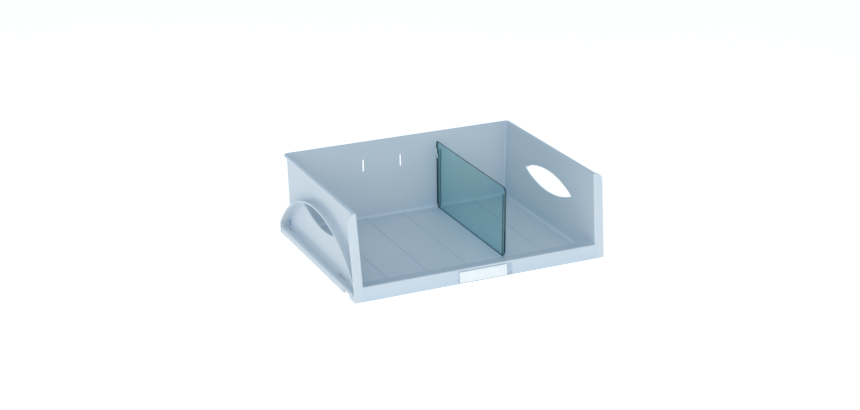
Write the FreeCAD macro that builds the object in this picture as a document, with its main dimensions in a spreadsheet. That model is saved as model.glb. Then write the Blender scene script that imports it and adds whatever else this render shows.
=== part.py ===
import FreeCAD, Part
import math
import os

import Sketcher
from FreeCAD import Placement, Rotation, Vector

# Desktop letter tray: one moulded tray, a hooked divider, a clear label holder and its card.
# Frame: +Z up, the open front faces -Y, the origin is the middle of the footprint.

SIZES = {
    # the tray as a whole
    "frame_width": 400,        # front frame, measured at the table
    "frame_top_width": 406,    # front frame, measured at the rim
    "depth": 298,              # front edge at the table to the back of the rim
    "height": 127,
    "setback": 18.2,           # how far the front face leans back over its height
    "wall": 2.5,
    "floor_top": 2.5,
    "inner_half": 185.4,       # inside half width at the front, at the table
    "draft": 0.026,            # how far sides and back lean out per millimetre of height
    "side_taper": 0.0097,      # narrowing per millimetre towards the back
    "corner_radius": 2.6,
    "inner_corner_radius": 2.4,
    # rim bead and front frame
    "rim_proud": 3.6,
    "rim_depth": 6,
    "rim_radius": 2.6,
    "frame_radius": 11,
    "frame_inner_radius": 2.4,
    "edge_radius": 1,
    # front lip and ramp
    "lip_top": 21,
    "lip_crest": 2.6,
    "ramp_run": 58,
    "floor_radius": 5,
    "hollow_thick": 2.4,       # extra thickness at the top of the lip's front wall
    "hollow_end": 8,           # solid floor left in front of the ramp's foot
    "hollow_skin": 2.65,       # upright thickness of the ramp over the hollow
    # side arches and ledges
    "arch_crown": 91.5,
    "arch_radius": 185.5,
    "arch_plate": 2.4,
    "arch_foot": 15,
    "ledge_top": 10.5,
    "ledge_plate": 2,
    "side_reach": 18,
    "arch_root_radius": 2,
    "ledge_root_radius": 4,
    "ledge_edge_radius": 3.4,
    # lens grips in the side walls
    "grip_length": 150,
    "grip_height": 35,
    "grip_centre": 71.5,
    "grip_back": 153,          # from the front edge back to the middle of the grip
    "grip_reach": 190.5,       # from the middle plane to just outside the side wall
    "grip_tip_radius": 1.5,
    # slots, grooves and notches
    "pitch": 63,
    "slot_width": 3.2,
    "slot_low": 79,
    "slot_tall": 20,
    "groove_width": 2.2,
    "groove_deep": 0.6,
    "groove_end": 2,           # from the groove's back end to the back wall
    "ledge_slot_width": 4.6,
    "ledge_slot_long": 28,
    "ledge_slot_out": 7.8,
    "front_slot_back": 58,
    "back_slot_back": 263,
    "notch_back": 21,
    "notch_long": 21,
    "notch_tall": 6,
    # divider
    "divider_plate": 2.4,
    "divider_top": 111.5,
    "divider_foot": 2.2,
    "divider_front": 56,
    "divider_gap": 0.5,
    "divider_chamfer": 6,
    "divider_radius": 8,
    "blade_plate": 1.6,
    "blade_tall": 1.6,
    "rib_proud": 0.8,
    "rib_wide": 2.4,
    "front_rib_inset": 5,
    "back_rib_inset": 10,
    "rib_top": 101,
    "hook_low": 80,
    "hook_tall": 11,
    "hook_reach": 4.2,
    "hook_low_slope": 3,       # the hook's underside rises this much to its tip
    "hook_high_slope": 2,      # and its top drops this much
    # label holder and card
    "holder_length": 85,
    "holder_shift": 3.5,       # the channel reaches further past the card on the right
    "holder_tall": 17.6,
    "holder_skin": 0.5,
    "holder_thick": 2,
    "holder_lift": 0.6,
    "card_length": 76,
    "card_tall": 16,
    "card_thick": 0.4,
    "card_gap": 0.3,
}

doc = FreeCAD.newDocument("letter_tray")
sheet = doc.addObject("Spreadsheet::Sheet", "Sizes")


def fill_sheet():
    for row, (word, value) in enumerate(SIZES.items(), start=1):
        sheet.set(f"A{row}", word)
        sheet.set(f"B{row}", str(value))
        sheet.setAlias(f"B{row}", word)
    doc.recompute()


class Size:
    """A number together with the spreadsheet formula that it comes from."""

    def __init__(self, value, formula=None):
        self.value = float(value)
        self.formula = formula or repr(float(value))

    def __add__(self, other):
        other = as_size(other)
        return Size(self.value + other.value, f"({self.formula} + {other.formula})")

    def __sub__(self, other):
        other = as_size(other)
        return Size(self.value - other.value, f"({self.formula} - {other.formula})")

    def __mul__(self, other):
        other = as_size(other)
        return Size(self.value * other.value, f"({self.formula} * {other.formula})")

    def __truediv__(self, other):
        other = as_size(other)
        return Size(self.value / other.value, f"({self.formula} / {other.formula})")

    def __neg__(self):
        return Size(0) - self


def as_size(number):
    return number if isinstance(number, Size) else Size(number)


def cell(word):
    return Size(SIZES[word], f"Sizes.{word}")


def bind(thing, name, size):
    size = as_size(size)
    thing.setExpression(name, size.formula)


# ---- shared places -------------------------------------------------------------------------

HEIGHT = cell("height")
WALL = cell("wall")
HALF_FRAME = cell("frame_width") / 2
FRONT = (cell("depth") - cell("holder_thick")) / -2
BACK = FRONT + cell("depth")
LEAN = math.degrees(math.atan2(SIZES["setback"], SIZES["height"]))
PAST = 5.0             # how far a cutting tool runs past the solid
OVERLAP = 1.0          # how far two forms that are joined reach into each other
THROUGH = 3 * PAST     # long enough for a tool to pass a wall or the leaning front


def front_face(height):
    """Y of the leaning front face at a height."""
    return FRONT + cell("setback") * (as_size(height) / HEIGHT)


def back_face(height):
    """Y of the outside of the back wall at a height."""
    return BACK - cell("rim_proud") - cell("draft") * (HEIGHT - height)


def half_inside(along, height):
    """Half of the inside width at a place along Y and a height."""
    return cell("inner_half") + cell("draft") * height - cell("side_taper") * (along - FRONT)


def ramp_crest():
    """Y where the top of the lip ends and the ramp begins."""
    return front_face(cell("lip_top")) + cell("lip_crest")


# ---- small drawing helpers -----------------------------------------------------------------

def origin_plane(body, role):
    return next(item for item in body.Origin.OriginFeatures if item.Role == role)


def polygon_sketch(body, name, role, corners, lift=0):
    """Closed outline on an origin plane of the body, every corner tied to the sheet."""
    sketch = body.newObject("Sketcher::SketchObject", name)
    sketch.AttachmentSupport = [(origin_plane(body, role), "")]
    sketch.MapMode = "FlatFace"
    corners = [(as_size(across), as_size(up)) for across, up in corners]
    places = [Vector(across.value, up.value, 0) for across, up in corners]
    for start, end in zip(places, places[1:] + places[:1]):
        sketch.addGeometry(Part.LineSegment(start, end), False)
    count = len(corners)
    for line in range(count):
        sketch.addConstraint(Sketcher.Constraint("Coincident", line, 2, (line + 1) % count, 1))
    for line, (across, up) in enumerate(corners):
        for direction, size in (("DistanceX", across), ("DistanceY", up)):
            index = sketch.addConstraint(Sketcher.Constraint(direction, -1, 1, line, 1, size.value))
            bind(sketch, f"Constraints[{index}]", size)
    sketch.AttachmentOffset = Placement(Vector(0, 0, as_size(lift).value), Rotation())
    bind(sketch, "AttachmentOffset.Base.z", lift)
    return sketch


def new_body(name):
    body = doc.addObject("PartDesign::Body", name)
    body.Label = name
    return body


def pad(body, name, sketch, length, midplane=False, backward=False):
    feature = body.newObject("PartDesign::Pad", name)
    feature.Profile = sketch
    feature.SideType = "Symmetric" if midplane else "One side"
    feature.Reversed = backward
    bind(feature, "Length", length)
    return feature


def pocket(body, name, sketch, length):
    feature = body.newObject("PartDesign::Pocket", name)
    feature.Profile = sketch
    feature.SideType = "Symmetric"
    bind(feature, "Length", length)
    return feature


def edge_names(shape, wanted):
    return [f"Edge{number}" for number, edge in enumerate(shape.Edges, start=1) if wanted(edge)]


def round_edges(body, name, base, radius, wanted):
    doc.recompute()
    feature = body.newObject("PartDesign::Fillet", name)
    feature.Base = (base, edge_names(base.Shape, wanted))
    bind(feature, "Radius", radius)
    return feature


def middle(edge):
    return edge.valueAt((edge.FirstParameter + edge.LastParameter) / 2)


def direction(edge):
    span = edge.valueAt(edge.LastParameter) - edge.valueAt(edge.FirstParameter)
    return span.normalize() if span.Length > 0 else Vector(0, 0, 0)


def near(number, target, slack=0.01):
    return abs(number - as_size(target).value) < slack


def runs_along(edge, axis, slack=0.1):
    """Whether an edge keeps nearly to one axis: x, y or z."""
    return near(abs(getattr(direction(edge), axis)), 1, slack)


def back_corner(edge):
    """An upright edge in the back half."""
    return runs_along(edge, "z") and middle(edge).y > 0


def box(name, low, high):
    """Block between two corners, each corner tied to the sheet."""
    feature = doc.addObject("Part::Box", name)
    for axis, side, start, end in zip("xyz", ("Length", "Width", "Height"), low, high):
        bind(feature, f"Placement.Base.{axis}", start)
        bind(feature, side, as_size(end) - start)
    return feature


def cross_cylinder(name, radius, start, length, along, height):
    """Cylinder whose axis runs along X."""
    feature = doc.addObject("Part::Cylinder", name)
    bind(feature, "Radius", radius)
    bind(feature, "Height", length)
    feature.Placement = Placement(Vector(0, 0, 0), Rotation(Vector(0, 1, 0), 90))
    for axis, size in zip("xyz", (start, along, height)):
        bind(feature, f"Placement.Base.{axis}", size)
    return feature


def joined(name, pieces):
    feature = doc.addObject("Part::MultiFuse", name)
    feature.Shapes = pieces
    feature.Refine = True
    return feature


def cut(name, base, tool):
    feature = doc.addObject("Part::Cut", name)
    feature.Base = base
    feature.Tool = tool
    feature.Refine = True
    return feature


def rounded(name, base, radius, wanted):
    """Fillet the chosen edges of a finished form."""
    doc.recompute()
    feature = doc.addObject("Part::Fillet", name)
    feature.Base = base
    radius = as_size(radius).value
    chosen = [number for number, edge in enumerate(base.Shape.Edges, start=1) if wanted(edge)]
    feature.Edges = [(number, radius, radius) for number in chosen]
    return feature


def common(name, first, second):
    feature = doc.addObject("Part::MultiCommon", name)
    feature.Shapes = [first, second]
    return feature


# ---- tray ----------------------------------------------------------------------------------

def outline(front, out):
    """Corners of the walls' outside outline at the table, grown outwards by out."""
    back = back_face(Size(0)) + out
    front_half = half_inside(front, Size(0)) + WALL + out
    back_half = half_inside(back, Size(0)) + WALL + out
    return [(-front_half, front), (front_half, front), (back_half, back), (-back_half, back)]


def upright_faces(shape):
    """Sides and back of an upright block, but not its front."""
    normals = [(number, face.normalAt(0, 0)) for number, face in enumerate(shape.Faces, start=1)]
    return [f"Face{number}" for number, normal in normals
            if near(normal.z, 0) and not near(normal.y, -1, 0.1)]


def drafted_block(name, corners, low, tall, radius):
    """Upright block whose sides and back lean outwards, with rounded back corners."""
    body = new_body(name)
    sketch = polygon_sketch(body, f"{name}_outline", "XY_Plane", corners, lift=low)
    block = pad(body, f"{name}_pad", sketch, tall)
    doc.recompute()
    lean = body.newObject("PartDesign::Draft", f"{name}_draft")
    lean.Base = (block, upright_faces(block.Shape))
    lean.NeutralPlane = (origin_plane(body, "XY_Plane"), [""])
    lean.Reversed = True
    bind(lean, "Angle", Size(math.degrees(math.atan(SIZES["draft"])), "atan(Sizes.draft)"))
    round_edges(body, f"{name}_corners", lean, radius, back_corner)
    return body


def rim_bead():
    """Rounded bead that runs round the outside of the rim."""
    body = new_body("rim_bead")
    out = cell("rim_proud")
    front = front_face(HEIGHT) + OVERLAP / 2
    grown = cell("draft") * HEIGHT
    corners = [(x + grown * math.copysign(1, x.value), y + (grown if y.value > 0 else 0))
               for x, y in outline(front, out)]
    sketch = polygon_sketch(body, "rim_outline", "XY_Plane", corners, lift=HEIGHT)
    slab = pad(body, "rim_slab", sketch, cell("rim_depth"), backward=True)
    upright = round_edges(body, "rim_corners", slab, cell("corner_radius") + out, back_corner)

    def outside(edge):
        return near(direction(edge).z, 0) and middle(edge).y > front.value + OVERLAP

    round_edges(body, "rim_rounding", upright, cell("rim_radius"), outside)
    return body


def front_frame():
    """Flat frame round the opening, leaning back with the front face."""
    face = new_body("frame_outline")
    top = cell("frame_top_width") / 2
    sketch = polygon_sketch(face, "frame_front_view", "XZ_Plane", [
        (-HALF_FRAME, 0), (HALF_FRAME, 0), (top, HEIGHT), (-top, HEIGHT)], lift=-FRONT)
    block = pad(face, "frame_block", sketch, cell("setback") * 2, backward=True)
    round_edges(face, "frame_corners", block, cell("frame_radius"),
                lambda edge: runs_along(edge, "y") and middle(edge).z > HEIGHT.value / 2)
    slab = new_body("frame_slab")
    side_view = polygon_sketch(slab, "frame_side_view", "YZ_Plane", [
        (FRONT, 0), (FRONT + WALL, 0),
        (front_face(HEIGHT) + WALL, HEIGHT), (front_face(HEIGHT), HEIGHT)])
    pad(slab, "frame_slab_pad", side_view, cell("frame_top_width") + 2 * PAST, midplane=True)
    return common("front_frame", face, slab)


def front_trim():
    """Everything in front of the leaning front face."""
    body = new_body("front_trim")
    above = HEIGHT + PAST
    sketch = polygon_sketch(body, "front_trim_view", "YZ_Plane", [
        (FRONT - THROUGH, -PAST), (front_face(-PAST), -PAST),
        (front_face(above), above), (FRONT - THROUGH, above)])
    pad(body, "front_trim_pad", sketch, cell("frame_top_width") + 2 * PAST, midplane=True)
    return body


def side_arch(name, side):
    """Arched flange with its feet, and the ledge and skirt below it, on one side."""
    reach = cell("side_reach")
    start = HALF_FRAME * side if side < 0 else HALF_FRAME - reach
    end = start + reach
    centre_y = (FRONT + BACK) / 2
    centre_z = cell("arch_crown") - cell("arch_radius")
    outer = cross_cylinder(f"{name}_outer", cell("arch_radius"), start, reach, centre_y, centre_z)
    inner = cross_cylinder(f"{name}_inner", cell("arch_radius") - cell("arch_plate"),
                           start, reach, centre_y, centre_z)
    ring = cut(f"{name}_ring", outer, inner)
    window = box(f"{name}_window", (start, FRONT, 0), (end, BACK, HEIGHT))
    band = common(f"{name}_band", ring, window)
    plate = cell("arch_plate")
    foot = cell("arch_foot")
    skirt = HALF_FRAME * side if side < 0 else HALF_FRAME - cell("ledge_plate")
    pieces = [
        band,
        box(f"{name}_back_foot", (start, BACK - plate, 0), (end, BACK, foot)),
        box(f"{name}_ledge", (start, FRONT, cell("ledge_top") - cell("ledge_plate")),
            (end, BACK, cell("ledge_top"))),
        box(f"{name}_skirt", (skirt, FRONT, 0), (skirt + cell("ledge_plate"), BACK, cell("ledge_top"))),
    ]
    return joined(name, pieces)


def cavity():
    """The space inside the tray: over the floor and the ramp, open at the front and the top."""
    floor = cell("floor_top")
    front = FRONT - THROUGH
    back = back_face(Size(0)) - WALL
    corners = [(-half_inside(front, 0), front), (half_inside(front, 0), front),
               (half_inside(back, 0), back), (-half_inside(back, 0), back)]
    body = drafted_block("cavity", corners, Size(0), HEIGHT + PAST, cell("inner_corner_radius"))
    under = polygon_sketch(body, "floor_and_ramp", "YZ_Plane", [
        (front - PAST, -PAST), (BACK, -PAST), (BACK, floor), (FRONT + cell("ramp_run"), floor),
        (ramp_crest(), cell("lip_top")), (front - PAST, cell("lip_top"))])
    rough = pocket(body, "floor_and_ramp_cut", under, cell("frame_top_width"))
    doc.recompute()

    def low_edge(edge):
        spot = middle(edge)
        ramp_foot = near(spot.x, 0) and spot.y < 0
        return spot.z < SIZES["lip_top"] - OVERLAP and not ramp_foot

    round_edges(body, "floor_rounding", rough, cell("floor_radius"), low_edge)
    return body


def lip_hollow():
    """Hollow under the lip and the ramp, open below."""
    body = new_body("lip_hollow")
    floor = cell("floor_top")
    ramp_foot = FRONT + cell("ramp_run")
    slope = (cell("lip_top") - floor) / (ramp_foot - ramp_crest())
    hollow_front = FRONT + WALL + cell("hollow_thick")
    hollow_back = ramp_foot - cell("hollow_end")

    def underside(along):
        return floor + (ramp_foot - along) * slope - cell("hollow_skin")

    sketch = polygon_sketch(body, "lip_hollow_view", "YZ_Plane", [
        (FRONT + WALL, -PAST), (hollow_back, -PAST), (hollow_back, underside(hollow_back)),
        (hollow_front, underside(hollow_front))])
    width = (cell("inner_half") - OVERLAP) * 2
    pad(body, "lip_hollow_pad", sketch, width, midplane=True)
    return body


def grip_hole():
    """Lens-shaped hole through both side walls."""
    half_long = cell("grip_length") / 2
    half_tall = cell("grip_height") / 2
    radius = (half_long * half_long + half_tall * half_tall) / (half_tall * 2)
    along = FRONT + cell("grip_back")
    start = -cell("grip_reach")
    length = cell("grip_reach") * 2
    low = cross_cylinder("grip_low", radius, start, length, along,
                         cell("grip_centre") + half_tall - radius)
    high = cross_cylinder("grip_high", radius, start, length, along,
                          cell("grip_centre") - half_tall + radius)
    lens = common("grip_lens", low, high)
    return rounded("grip_hole", lens, cell("grip_tip_radius"),
                   lambda edge: runs_along(edge, "x") and not near(middle(edge).y, along, half_tall.value))


def small_cuts():
    """Slots in the back wall, grooves in the floor, slots in the ledges and skirt notches."""
    tools = []
    back_wall = back_face(HEIGHT)
    pitch = cell("pitch")
    for place in (-1, 0, 1):
        middle_x = pitch * place
        half = cell("slot_width") / 2
        tools.append(box(f"back_slot_{place + 2}",
                         (middle_x - half, back_wall - THROUGH, cell("slot_low")),
                         (middle_x + half, back_wall + PAST, cell("slot_low") + cell("slot_tall"))))
    for place in (-2, -1, 0, 1, 2):
        middle_x = pitch * place
        half = cell("groove_width") / 2
        tools.append(box(f"floor_groove_{place + 3}",
                         (middle_x - half, FRONT + cell("ramp_run") - OVERLAP,
                          cell("floor_top") - cell("groove_deep")),
                         (middle_x + half, back_face(Size(0)) - WALL - cell("groove_end"),
                          cell("floor_top") + OVERLAP)))
    for side, word in ((-1, "left"), (1, "right")):
        outside = HALF_FRAME * side
        slot_edge = outside - cell("ledge_slot_out") * side
        slot_x = slot_edge if side < 0 else slot_edge - cell("ledge_slot_width")
        for spot in ("front_slot_back", "back_slot_back"):
            start = FRONT + cell(spot)
            tools.append(box(f"{word}_{spot}", (slot_x, start, 0),
                             (slot_x + cell("ledge_slot_width"), start + cell("ledge_slot_long"),
                              cell("ledge_top") + PAST)))
        notch_x = outside - cell("ledge_plate") * 2 if side > 0 else outside - PAST
        start = FRONT + cell("notch_back")
        tools.append(box(f"{word}_notch", (notch_x, start, -PAST),
                         (notch_x + cell("ledge_plate") * 2 + PAST, start + cell("notch_long"),
                          cell("notch_tall"))))
    return joined("small_cuts", tools)


def along_side(edge):
    """A long edge that runs front to back, far from the middle."""
    beside = abs(middle(edge).x) > HALF_FRAME.value / 2
    return edge.Length > HEIGHT.value and near(direction(edge).x, 0, 0.1) and beside


def round_arches(outside):
    """Soft roots where arches and ledges leave the walls, and a soft outer ledge edge."""
    crown = SIZES["arch_crown"]
    on_outside = HALF_FRAME.value - OVERLAP

    def arch_root(edge):
        spot = middle(edge)
        return along_side(edge) and near(spot.z, crown, 2 * PAST) and abs(spot.x) < on_outside

    def ledge_root(edge):
        spot = middle(edge)
        return along_side(edge) and near(spot.z, cell("ledge_top")) and abs(spot.x) < on_outside

    def ledge_edge(edge):
        spot = middle(edge)
        return along_side(edge) and near(spot.z, cell("ledge_top")) and abs(spot.x) > on_outside

    roots = rounded("arch_roots", outside, cell("arch_root_radius"), arch_root)
    ledges = rounded("ledge_roots", roots, cell("ledge_root_radius"), ledge_root)
    return rounded("ledge_edges", ledges, cell("ledge_edge_radius"), ledge_edge)


def round_opening(hollowed):
    """Soft edges round the inside of the front frame, the lip and the rim."""
    def frame_inside(edge):
        spot = middle(edge)
        half = half_inside(front_face(spot.z), spot.z)
        at_wall = near(abs(spot.x), half, 0.3) and near(spot.y, front_face(spot.z), 0.3)
        return edge.Length > HEIGHT.value / 2 and at_wall

    def lip_edge(edge):
        spot = middle(edge)
        return edge.Length > HALF_FRAME.value and near(spot.z, cell("lip_top")) and near(spot.x, 0)

    def rim_inside(edge):
        spot = middle(edge)
        within = abs(spot.x) < half_inside(as_size(spot.y), HEIGHT).value + OVERLAP / 2
        behind_frame = front_face(HEIGHT).value + WALL.value < spot.y < BACK.value - PAST
        return near(spot.z, HEIGHT) and near(direction(edge).z, 0) and within and behind_frame

    frame = rounded("frame_inside", hollowed, cell("frame_inner_radius"), frame_inside)
    lip = rounded("lip_edges", frame, cell("edge_radius"), lip_edge)
    return rounded("rim_inside", lip, cell("edge_radius"), rim_inside)


def tray_body():
    block = drafted_block("wall_block", outline(FRONT - PAST, 0), Size(0), HEIGHT,
                          cell("corner_radius"))
    walls = joined("walls_and_rim", [
        block, rim_bead(), side_arch("left_arch", -1), side_arch("right_arch", 1)])
    trimmed = cut("trimmed_walls", walls, front_trim())
    outside = joined("outside_form", [trimmed, front_frame()])
    hollowed = cut("hollowed", round_arches(outside), cavity())
    openings = joined("openings", [lip_hollow(), grip_hole(), small_cuts()])
    tray = cut("tray_body", round_opening(hollowed), openings)
    tray.Label = "tray_body"
    return tray


# ---- divider -------------------------------------------------------------------------------

def divider():
    """Upright plate with a hook through the back wall and a blade in the floor groove."""
    body = new_body("divider")
    place = cell("pitch")
    front = FRONT + cell("divider_front")
    chamfer = cell("divider_chamfer")
    low = cell("divider_foot") + cell("blade_tall")
    top = cell("divider_top")
    hook_low = cell("hook_low")
    hook_high = hook_low + cell("hook_tall")

    def back(height):
        return back_face(height) - WALL - cell("divider_gap")

    hook_tip = back(hook_low) + cell("divider_gap") + cell("hook_reach")
    side_view = polygon_sketch(body, "divider_side", "YZ_Plane", [
        (front, low + chamfer), (front + chamfer, low),
        (back(low) - chamfer, low), (back(low), low + chamfer),
        (back(hook_low), hook_low), (hook_tip, hook_low + cell("hook_low_slope")),
        (hook_tip, hook_high - cell("hook_high_slope")), (back(hook_high), hook_high),
        (back(top), top), (front, top)], lift=place)
    pad(body, "divider_plate", side_view, cell("divider_plate"), midplane=True)
    blade_view = polygon_sketch(body, "blade_side", "YZ_Plane", [
        (front + chamfer, cell("divider_foot")), (back(low) - chamfer, cell("divider_foot")),
        (back(low) - chamfer, low + OVERLAP), (front + chamfer, low + OVERLAP)], lift=place)
    pad(body, "divider_blade", blade_view, cell("blade_plate"), midplane=True)
    half = cell("rib_wide") / 2
    rib_thick = cell("divider_plate") + cell("rib_proud") * 2
    for word, along in (("front", front + cell("front_rib_inset")),
                        ("back", back(top) - cell("back_rib_inset"))):
        rib_view = polygon_sketch(body, f"{word}_rib_side", "YZ_Plane", [
            (along - half, low + OVERLAP), (along + half, low + OVERLAP),
            (along + half, cell("rib_top")), (along - half, cell("rib_top"))], lift=place)
        rib = pad(body, f"{word}_rib", rib_view, rib_thick, midplane=True)

    def front_corner(edge):
        spot = middle(edge)
        return near(spot.z, top) and near(spot.y, front) and runs_along(edge, "x")

    round_edges(body, "divider_corner", rib, cell("divider_radius"), front_corner)
    return body


# ---- label holder and card -----------------------------------------------------------------

def lean_on_lip(body, across):
    """Stand a piece drawn upright at the origin against the leaning front face."""
    lift = cell("holder_lift")
    body.Placement = Placement(Vector(0, 0, 0), Rotation(Vector(1, 0, 0), -LEAN))
    for axis, size in zip("xyz", (across, front_face(lift), lift)):
        bind(body, f"Placement.Base.{axis}", size)
    return body


def label_holder():
    """Clear channel with open ends: a back, a floor and a window."""
    body = new_body("label_holder")
    skin = cell("holder_skin")
    thick = cell("holder_thick")
    tall = cell("holder_tall")
    profile = polygon_sketch(body, "holder_profile", "YZ_Plane", [
        (0, 0), (0, tall), (-skin, tall), (-skin, skin), (skin - thick, skin),
        (skin - thick, tall), (-thick, tall), (-thick, 0)])
    pad(body, "holder_channel", profile, cell("holder_length"), midplane=True)
    return lean_on_lip(body, cell("holder_shift"))


def label_card():
    body = new_body("label_card")
    gap = cell("card_gap")
    low = cell("holder_skin") + gap
    near_side = -(cell("holder_skin") + gap)
    profile = polygon_sketch(body, "card_profile", "YZ_Plane", [
        (near_side, low), (near_side, low + cell("card_tall")),
        (near_side - cell("card_thick"), low + cell("card_tall")),
        (near_side - cell("card_thick"), low)])
    pad(body, "card_sheet", profile, cell("card_length"), midplane=True)
    return lean_on_lip(body, 0)


# ---- build, check and write ----------------------------------------------------------------

def check_all():
    for item in doc.Objects:
        if "Invalid" in item.State or "Error" in item.State:
            raise RuntimeError(f"{item.Name} is {item.State}")


def write_pieces(pieces):
    for piece in pieces:
        shape = piece.Shape
        if shape.isNull() or not shape.isValid() or len(shape.Solids) != 1:
            raise RuntimeError(f"{piece.Label} is not one valid solid")
        span = shape.optimalBoundingBox()
        print(f"{piece.Label}: {shape.Volume / 1000:.1f} cm3, "
              f"{span.XLength:.1f} x {span.YLength:.1f} x {span.ZLength:.1f} mm")
    os.makedirs("parts", exist_ok=True)
    for piece in pieces:
        piece.Shape.exportStep(f"parts/{piece.Label}.step")


fill_sheet()
nodes = [tray_body(), divider(), label_holder(), label_card()]
doc.recompute()
check_all()
write_pieces(nodes)
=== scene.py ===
import math

import bmesh
import bpy
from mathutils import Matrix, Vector

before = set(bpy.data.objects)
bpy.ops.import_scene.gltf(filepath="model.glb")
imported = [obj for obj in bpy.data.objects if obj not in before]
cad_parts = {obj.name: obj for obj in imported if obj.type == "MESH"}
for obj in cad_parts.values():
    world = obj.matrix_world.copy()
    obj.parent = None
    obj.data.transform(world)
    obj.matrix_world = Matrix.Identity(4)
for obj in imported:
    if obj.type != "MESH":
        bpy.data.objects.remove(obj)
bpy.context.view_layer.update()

# Letter tray: the CAD nodes keep their shapes and get moulded-plastic materials here.
# Metres, +Z up, the open front faces -Y.

# ---- camera --------------------------------------------------------------------------------

VIEW_AZIMUTH = -25.03       # degrees, from straight in front towards the left
VIEW_ELEVATION = 21.03
VIEW_DISTANCE = 2.609
VIEW_CENTRE = Vector((-0.009, 0.015, 0.060))
LENS = 72.56                # millimetres on a 36 mm sensor
CLIP_END = 60               # metres, past the floor's far edge


def away(azimuth, elevation):
    """Unit vector from the object towards a viewer at these angles in degrees."""
    turn, rise = math.radians(azimuth), math.radians(elevation)
    return Vector((math.sin(turn) * math.cos(rise), -math.cos(turn) * math.cos(rise), math.sin(rise)))


def aim(thing, target):
    thing.rotation_euler = (target - thing.location).to_track_quat("-Z", "Y").to_euler()


def make_camera():
    data = bpy.data.cameras.new("camera")
    data.lens = LENS
    data.clip_end = CLIP_END
    camera = bpy.data.objects.new("camera", data)
    bpy.context.scene.collection.objects.link(camera)
    camera.location = VIEW_CENTRE + away(VIEW_AZIMUTH, VIEW_ELEVATION) * VIEW_DISTANCE
    aim(camera, VIEW_CENTRE)
    bpy.context.scene.camera = camera
    bpy.context.scene.view_settings.view_transform = "Standard"


# ---- studio --------------------------------------------------------------------------------

# name: place, target, size in metres, watts, colour
LAMPS = {
    "front_softbox": ((-0.60, -2.10, 1.15), (0, 0, 0.06), 1.8, 19, (1.0, 0.95, 0.87)),
    "left_softbox": ((-2.05, -0.45, 1.05), (-0.2, 0, 0.02), 1.2, 6, (1.0, 0.95, 0.90)),
}


def make_lamps():
    for name, (place, target, size, watts, colour) in LAMPS.items():
        data = bpy.data.lights.new(name, "AREA")
        data.shape = "SQUARE"
        data.size = size
        data.energy = watts
        data.color = colour
        lamp = bpy.data.objects.new(name, data)
        bpy.context.scene.collection.objects.link(lamp)
        lamp.location = place
        aim(lamp, Vector(target))


WORLD_COLOUR = (0.63, 0.82, 1.0, 1.0)
WORLD_STRENGTH = 0.64
FLOOR_GLOW = 0.58           # the floor is lit like a light table, so that it stays white
FLOOR_RADIUS = 20.0
FLOOR_SIDES = 96


def make_world():
    world = bpy.data.worlds.new("studio")
    world.use_nodes = True
    background = world.node_tree.nodes["Background"]
    background.inputs["Color"].default_value = WORLD_COLOUR
    background.inputs["Strength"].default_value = WORLD_STRENGTH
    bpy.context.scene.world = world


def make_floor():
    mesh = bpy.data.meshes.new("floor")
    form = bmesh.new()
    bmesh.ops.create_circle(form, cap_ends=True, segments=FLOOR_SIDES, radius=FLOOR_RADIUS)
    form.to_mesh(mesh)
    form.free()
    floor = bpy.data.objects.new("floor", mesh)
    bpy.context.scene.collection.objects.link(floor)
    mesh.materials.append(floor_paint())


# ---- node helpers --------------------------------------------------------------------------

# the Mix node keeps sockets for each data type; these are its colour ones
MIX_INPUTS = (0, 6, 7)      # factor, A, B
MIX_RESULT = 2


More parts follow.
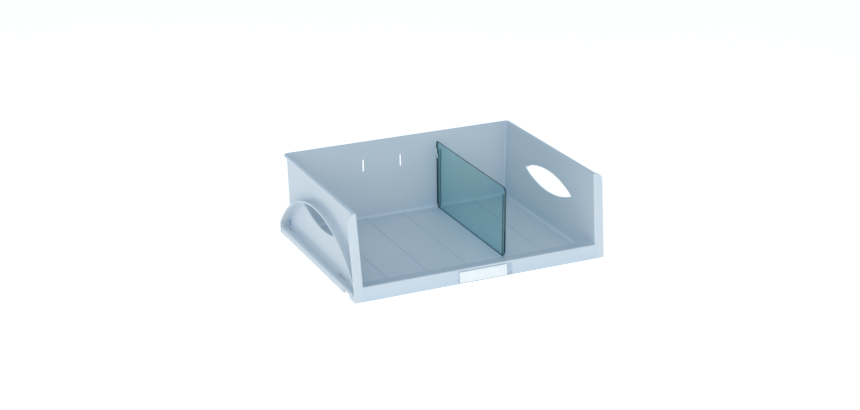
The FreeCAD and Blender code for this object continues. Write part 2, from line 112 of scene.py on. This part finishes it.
class Recipe:
    """A material's node tree with short ways to add and join nodes."""

    def __init__(self, name):
        self.material = bpy.data.materials.new(name)
        self.material.use_nodes = True
        self.tree = self.material.node_tree
        self.shader = self.tree.nodes["Principled BSDF"]
        self.output = self.tree.nodes["Material Output"]
        self.place = self.add("ShaderNodeTexCoord").outputs["Object"]

    def add(self, kind, **settings):
        node = self.tree.nodes.new(kind)
        for word, value in settings.items():
            setattr(node, word, value)
        return node

    def join(self, socket, value):
        """Link an output to a socket, or set the socket to a plain value."""
        if isinstance(value, bpy.types.NodeSocket):
            self.tree.links.new(value, socket)
        else:
            socket.default_value = value

    def feed(self, node, **inputs):
        """Set or join inputs; a name's underscores stand for spaces."""
        for word, value in inputs.items():
            self.join(node.inputs[word.replace("_", " ")], value)
        return node

    def noise(self, scale, detail=3.0, roughness=0.5, stretch=None):
        place = self.place
        if stretch:
            mapping = self.feed(self.add("ShaderNodeMapping"), Vector=place, Scale=stretch)
            place = mapping.outputs["Vector"]
        node = self.feed(self.add("ShaderNodeTexNoise"), Vector=place, Scale=scale,
                         Detail=detail, Roughness=roughness)
        return node.outputs["Fac"]

    def spread(self, value, low, high, to_low=0.0, to_high=1.0):
        node = self.add("ShaderNodeMapRange")
        node.clamp = True
        self.feed(node, Value=value, From_Min=low, From_Max=high, To_Min=to_low, To_Max=to_high)
        return node.outputs["Result"]

    def sums(self, operation, first, second):
        node = self.add("ShaderNodeMath", operation=operation)
        for socket, value in zip(node.inputs, (first, second)):
            self.join(socket, value)
        return node.outputs["Value"]

    def across(self, vector):
        """The size of a vector's X, without its sign."""
        split = self.add("ShaderNodeSeparateXYZ")
        self.join(split.inputs[0], vector)
        return self.sums("ABSOLUTE", split.outputs["X"], 0.0)

    def mix(self, factor, first, second):
        """Colour mix; first at factor 0, second at factor 1."""
        node = self.add("ShaderNodeMix", data_type="RGBA")
        for number, value in zip(MIX_INPUTS, (factor, first, second)):
            self.join(node.inputs[number], value)
        return node.outputs[MIX_RESULT]

    def edge(self, radius, sharp):
        """1 on an edge's last part and 0 on open faces."""
        bevel = self.feed(self.add("ShaderNodeBevel", samples=6), Radius=radius)
        flat = self.add("ShaderNodeNewGeometry").outputs["Normal"]
        dot = self.add("ShaderNodeVectorMath", operation="DOT_PRODUCT")
        self.join(dot.inputs[0], bevel.outputs["Normal"])
        self.join(dot.inputs[1], flat)
        return self.spread(dot.outputs["Value"], 1.0, sharp)

    def recess(self, reach):
        """1 in the open and 0 deep in a corner."""
        return self.feed(self.add("ShaderNodeAmbientOcclusion", samples=8), Distance=reach).outputs["AO"]

    def bump(self, height, depth, strength, below=None):
        node = self.feed(self.add("ShaderNodeBump"), Height=height, Distance=depth, Strength=strength)
        if below:
            self.join(node.inputs["Normal"], below)
        return node.outputs["Normal"]


# ---- materials -----------------------------------------------------------------------------

SIDE_WALL = (0.188, 0.192)  # metres from the middle plane: inside the tray, then outside it


def floor_paint():
    recipe = Recipe("floor_paint")
    cloud = recipe.spread(recipe.noise(1.5), 0.35, 0.65)
    recipe.feed(recipe.shader, Roughness=0.9,
                Base_Color=recipe.mix(cloud, (0.88, 0.885, 0.89, 1), (0.90, 0.905, 0.91, 1)),
                Emission_Color=(1.0, 0.92, 0.82, 1), Emission_Strength=FLOOR_GLOW)
    return recipe.material


def tray_plastic():
    """Pale cool grey polystyrene: satin grain, faint flow clouds, painted bluish shade in the inside
    corners, polished edges lightened partly as wear and partly as a painted highlight.
    """
    recipe = Recipe("tray_plastic")
    cloud = recipe.spread(recipe.noise(7.0, detail=4.0), 0.3, 0.7)
    colour = recipe.mix(cloud, (0.575, 0.637, 0.685, 1), (0.610, 0.667, 0.712, 1))
    flecks = recipe.spread(recipe.noise(900.0, detail=1.0), 0.62, 0.78, 0.0, 0.35)
    colour = recipe.mix(flecks, colour, (0.50, 0.60, 0.66, 1))
    # painted shade: inside the side walls, corners and recesses are mixed darker and bluer by an
    # ambient-occlusion mask
    inside = recipe.spread(recipe.across(recipe.place), *SIDE_WALL, 1.0, 0.0)
    painted_corner_shade = recipe.spread(recipe.recess(0.045), 0.30, 0.85, 0.55, 0.0)
    colour = recipe.mix(recipe.sums("MULTIPLY", painted_corner_shade, inside), colour, (0.38, 0.53, 0.70, 1))
    # edges lightened in patches: partly rubbed wear, partly a painted highlight; the same mask also
    # makes the edges a little glossier
    worn_and_highlight_edge = recipe.edge(0.0011, 0.93)
    patchy_wear_and_highlight = recipe.sums("MULTIPLY", worn_and_highlight_edge, recipe.spread(recipe.noise(55.0), 0.4, 0.7, 0.10, 0.35))
    colour = recipe.mix(patchy_wear_and_highlight, colour, (0.66, 0.72, 0.76, 1))
    grain = recipe.noise(2600.0, detail=2.0, roughness=0.6)
    ripple = recipe.noise(9.0, detail=1.0)
    scuffs = recipe.noise(30.0, detail=5.0, roughness=0.7, stretch=(1.0, 14.0, 14.0))
    scuffed = recipe.spread(scuffs, 0.60, 0.75, 0.0, 0.10)
    roughness = recipe.sums("ADD", recipe.spread(grain, 0.3, 0.7, 0.36, 0.46), scuffed)
    roughness = recipe.sums("SUBTRACT", roughness, recipe.sums("MULTIPLY", patchy_wear_and_highlight, 0.12))
    wave = recipe.bump(ripple, 0.0006, 0.25)
    normal = recipe.bump(grain, 0.00004, 0.35, below=wave)
    recipe.feed(recipe.shader, Base_Color=colour, Roughness=roughness, Normal=normal,
                Specular_IOR_Level=0.45, IOR=1.59)
    return recipe.material


def see_through(recipe, factor, tint):
    """Let part of the light straight through, tinted, behind the recipe's own surface."""
    clear = recipe.add("ShaderNodeBsdfTransparent")
    recipe.feed(clear, Color=tint)
    blend = recipe.add("ShaderNodeMixShader")
    for socket, value in zip(blend.inputs, (factor, clear.outputs[0], recipe.shader.outputs[0])):
        recipe.join(socket, value)
    recipe.join(recipe.output.inputs["Surface"], blend.outputs[0])


def plate_side(recipe):
    """1 on a plate's two broad faces, whose normals lie along X, and 0 round its edges."""
    normal = recipe.add("ShaderNodeNewGeometry").outputs["Normal"]
    return recipe.spread(recipe.across(normal), 0.5, 0.9)


def divider_plastic():
    """Smoked teal polystyrene: clear faces, and edges dark with the plate's whole depth."""
    recipe = Recipe("divider_plastic")
    face = plate_side(recipe)
    cloud = recipe.spread(recipe.noise(14.0, detail=3.0), 0.35, 0.65)
    body = recipe.mix(cloud, (0.14, 0.34, 0.36, 1), (0.17, 0.38, 0.40, 1))
    colour = recipe.mix(face, (0.012, 0.050, 0.060, 1), body)
    tint = recipe.mix(face, (0.05, 0.16, 0.18, 1), (0.80, 0.915, 0.91, 1))
    cover = recipe.spread(face, 0.0, 1.0, 0.85, 0.08)
    hair = recipe.noise(60.0, detail=5.0, roughness=0.75, stretch=(1.0, 1.0, 16.0))
    smear = recipe.noise(24.0, detail=3.0)
    roughness = recipe.sums("ADD", recipe.spread(hair, 0.58, 0.72, 0.06, 0.16),
                            recipe.spread(smear, 0.4, 0.7, 0.0, 0.06))
    normal = recipe.bump(smear, 0.0004, 0.12)
    recipe.feed(recipe.shader, Base_Color=colour, Roughness=roughness, Normal=normal,
                IOR=1.59, Coat_Weight=0.3, Coat_Roughness=0.04)
    see_through(recipe, cover, tint)
    return recipe.material


def clear_plastic():
    """Clear extruded channel: nearly invisible faces, greyer edges, fine draw lines."""
    recipe = Recipe("clear_plastic")
    line = recipe.noise(40.0, detail=3.0, stretch=(0.6, 30.0, 30.0))
    rim = recipe.edge(0.0004, 0.90)
    colour = recipe.mix(rim, (0.86, 0.89, 0.91, 1), (0.62, 0.68, 0.72, 1))
    cover = recipe.spread(rim, 0.0, 1.0, 0.05, 0.28)
    roughness = recipe.spread(line, 0.4, 0.6, 0.05, 0.14)
    recipe.feed(recipe.shader, Base_Color=colour, Roughness=roughness, IOR=1.49,
                Normal=recipe.bump(line, 0.00006, 0.3))
    see_through(recipe, cover, (0.992, 0.996, 0.996, 1))
    return recipe.material


def card():
    """Blank white card with a paper tooth and slightly greyer cut edges."""
    recipe = Recipe("card")
    fibre = recipe.noise(1500.0, detail=5.0, roughness=0.7, stretch=(0.35, 1.0, 1.0))
    cloud = recipe.spread(recipe.noise(60.0, detail=3.0), 0.35, 0.65)
    colour = recipe.mix(cloud, (0.86, 0.868, 0.875, 1), (0.90, 0.905, 0.91, 1))
    cut = recipe.edge(0.00025, 0.90)
    colour = recipe.mix(recipe.sums("MULTIPLY", cut, 0.5), colour, (0.70, 0.71, 0.72, 1))
    roughness = recipe.spread(fibre, 0.3, 0.7, 0.72, 0.88)
    recipe.feed(recipe.shader, Base_Color=colour, Roughness=roughness,
                Normal=recipe.bump(fibre, 0.00003, 0.4), Specular_IOR_Level=0.3)
    return recipe.material


FINISHES = {
    "tray_body": tray_plastic,
    "divider": divider_plastic,
    "label_holder": clear_plastic,
    "label_card": card,
}


def dress_nodes():
    for name, make in FINISHES.items():
        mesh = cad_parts[name].data
        mesh.materials.clear()
        mesh.materials.append(make())


make_camera()
make_world()
make_lamps()
make_floor()
dress_nodes()
